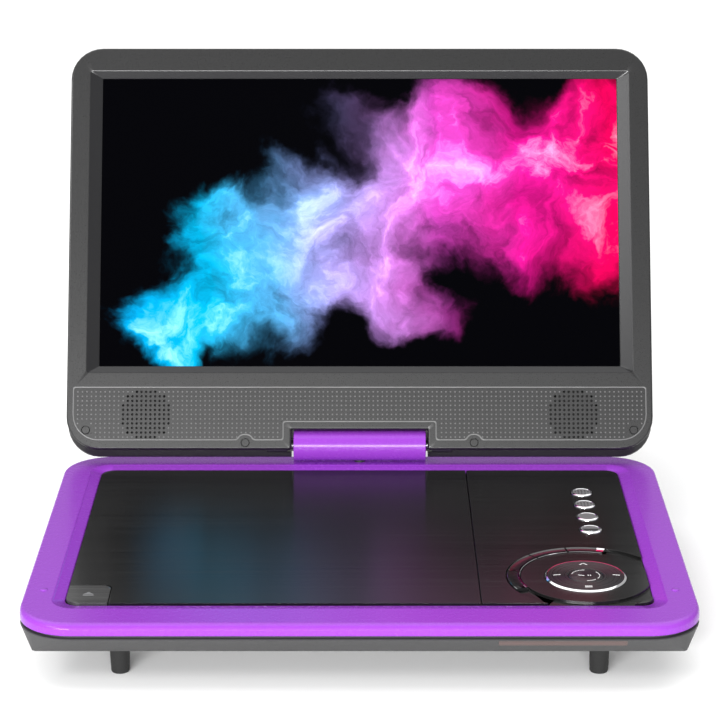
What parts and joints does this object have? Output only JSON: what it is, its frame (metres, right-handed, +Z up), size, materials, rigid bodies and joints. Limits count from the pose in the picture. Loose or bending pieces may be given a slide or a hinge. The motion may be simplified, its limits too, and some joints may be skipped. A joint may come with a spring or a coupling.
{
  "type": "portable disc player",
  "caption": "Portable disc player: flat base with a disc well, control keys and side sockets, and a wide lid screen on a swivelling, tilting barrel hinge.",
  "frame": {"origin": "on the table under the middle of the base, between its four feet", "axes": "+X to the viewer's right, -Y to the front, +Z up"},
  "size_m": [0.2364, 0.2383, 0.1809],
  "materials": {
    "purple_gloss": "polished purple plastic with a clear top coat",
    "lid_plastic": "fine sparked dark grey plastic",
    "shell_plastic": "satin mid grey plastic",
    "deck_brushed": "black plastic with a fine brushed grain running left to right under a gloss coat",
    "tray_plastic": "black moulded plastic",
    "screen_glass": "anti-glare screen film",
    "key_chrome": "bright plated plastic",
    "key_black": "black gloss key",
    "rubber_black": "soft black rubber",
    "window_tint": "dark red infrared window",
    "board_green": "solder-masked circuit board",
    "chip_black": "chip package",
    "steel": "plain steel",
    "steel_dark": "blackened steel",
    "brass": "turned brass",
    "pack_wrap": "heat-shrink sleeve",
    "white_plastic": "white reflector",
    "socket_black": "black socket body",
    "lens_clear": "coated lens"
  },
  "bodies": {
    "base": {"bottom_shell": "shell_plastic", "top_rim": "purple_gloss", "deck_tray": "tray_plastic", "control_panel": "deck_brushed", "ir_window": "window_tint", "ir_receiver": "chip_black", "battery_pack": "pack_wrap", "main_board": "board_green", "board_chips": "chip_black", "key_board": "board_green", "key_domes": "steel", "audio_jacks": "socket_black", "dc_jack": "socket_black", "usb_socket": "steel", "card_slot": "steel", "switch_case": "steel", "rubber_feet": "rubber_black", "rim_bumpers": "purple_gloss", "case_screws": "steel_dark", "hinge_bracket": "steel", "latch_spring": "steel", "drive_chassis": "steel", "drive_grommets": "rubber_black", "spindle_motor": "steel", "guide_rods": "steel", "sled_motor": "steel"},
    "cover": {"disc_cover": "deck_brushed"},
    "button": {"open_button": "deck_brushed"},
    "latch": {"cover_latch": "steel"},
    "key_1": {"round_key_1": "key_chrome"},
    "key_2": {"round_key_2": "key_chrome"},
    "key_3": {"round_key_3": "key_chrome"},
    "key_4": {"round_key_4": "key_chrome"},
    "pad": {"nav_pad": "key_black"},
    "centre": {"centre_key": "key_black"},
    "arc_1": {"arc_key_1": "key_black"},
    "arc_2": {"arc_key_2": "key_black"},
    "arc_3": {"arc_key_3": "key_black"},
    "arc_4": {"arc_key_4": "key_black"},
    "switch": {"power_switch": "socket_black"},
    "wheel": {"volume_wheel": "socket_black"},
    "hub": {"disc_hub": "tray_plastic", "hub_balls": "steel", "platter_pad": "rubber_black"},
    "sled": {"pickup_sled": "tray_plastic", "pickup_lens": "lens_clear"},
    "screw": {"lead_screw": "brass"},
    "head": {"swivel_post": "steel", "swivel_clip": "steel_dark", "hinge_core": "steel_dark", "hinge_barrel": "purple_gloss", "tilt_pins": "steel"},
    "lid": {"lid_brackets": "steel_dark", "front_bezel": "lid_plastic", "back_shell": "lid_plastic", "lcd_panel": "screen_glass", "backlight": "white_plastic", "screen_board": "board_green", "speakers": "steel_dark", "screw_caps": "lid_plastic"}
  },
  "joints": [
    {"name": "swivel", "type": "hinge", "parent": "base", "child": "head", "pos_m": [0, 0.0813, 0.024], "axis": [0, 0, 1], "range_deg": [-90, 180]},
    {"name": "tilt", "type": "hinge", "parent": "head", "child": "lid", "pos_m": [0, 0.0813, 0.0304], "axis": [1, 0, 0], "range_deg": [-65.3, 114.7]},
    {"name": "cover_hinge", "type": "hinge", "parent": "base", "child": "cover", "pos_m": [-0.0303, 0.0657, 0.0206], "axis": [-1, 0, 0], "range_deg": [0, 75]},
    {"name": "open_press", "type": "slide", "parent": "base", "child": "button", "axis": [0, 0, -1], "range_m": [0, 0.001], "stiffness_N_per_m": 600, "springref_m": -0.0006},
    {"name": "latch_slide", "type": "slide", "parent": "base", "child": "latch", "axis": [-1, 0, 0], "range_m": [0, 0.0012]},
    {"name": "key_1_press", "type": "slide", "parent": "base", "child": "key_1", "axis": [0, 0, -1], "range_m": [0, 0.0003], "stiffness_N_per_m": 800, "springref_m": -0.0004},
    {"name": "key_2_press", "type": "slide", "parent": "base", "child": "key_2", "axis": [0, 0, -1], "range_m": [0, 0.0003], "stiffness_N_per_m": 800, "springref_m": -0.0004},
    {"name": "key_3_press", "type": "slide", "parent": "base", "child": "key_3", "axis": [0, 0, -1], "range_m": [0, 0.0003], "stiffness_N_per_m": 800, "springref_m": -0.0004},
    {"name": "key_4_press", "type": "slide", "parent": "base", "child": "key_4", "axis": [0, 0, -1], "range_m": [0, 0.0003], "stiffness_N_per_m": 800, "springref_m": -0.0004},
    {"name": "pad_press", "type": "slide", "parent": "base", "child": "pad", "axis": [0, 0, -1], "range_m": [0, 0.0003], "stiffness_N_per_m": 800, "springref_m": -0.0004},
    {"name": "centre_press", "type": "slide", "parent": "base", "child": "centre", "axis": [0, 0, -1], "range_m": [0, 0.0003], "stiffness_N_per_m": 800, "springref_m": -0.0004},
    {"name": "arc_1_press", "type": "slide", "parent": "base", "child": "arc_1", "axis": [0, 0, -1], "range_m": [0, 0.0003], "stiffness_N_per_m": 800, "springref_m": -0.0004},
    {"name": "arc_2_press", "type": "slide", "parent": "base", "child": "arc_2", "axis": [0, 0, -1], "range_m": [0, 0.0003], "stiffness_N_per_m": 800, "springref_m": -0.0004},
    {"name": "arc_3_press", "type": "slide", "parent": "base", "child": "arc_3", "axis": [0, 0, -1], "range_m": [0, 0.0003], "stiffness_N_per_m": 800, "springref_m": -0.0004},
    {"name": "arc_4_press", "type": "slide", "parent": "base", "child": "arc_4", "axis": [0, 0, -1], "range_m": [0, 0.0003], "stiffness_N_per_m": 800, "springref_m": -0.0004},
    {"name": "switch_slide", "type": "slide", "parent": "base", "child": "switch", "axis": [0, 1, 0], "range_m": [0, 0.004]},
    {"name": "wheel_spin", "type": "hinge", "parent": "base", "child": "wheel", "pos_m": [0.10771, -0.034, 0.0156], "axis": [0, 0, 1], "range_deg": [-150, 150]},
    {"name": "hub_spin", "type": "hinge", "parent": "base", "child": "hub", "pos_m": [-0.0303, 0.00215, 0.018], "axis": [0, 0, 1], "continuous": true},
    {"name": "sled_slide", "type": "slide", "parent": "base", "child": "sled", "axis": [1, 0, 0], "range_m": [0, 0.03]},
    {"name": "screw_spin", "type": "hinge", "parent": "base", "child": "screw", "pos_m": [-0.0303, -0.02135, 0.011], "axis": [1, 0, 0], "range_deg": [0, 3600]}
  ],
  "couplings": [
    {"joint": "latch_slide", "follows": "open_press", "ratio": 1.2},
    {"joint": "screw_spin", "follows": "sled_slide", "rad_per_m": 2094.4}
  ]
}
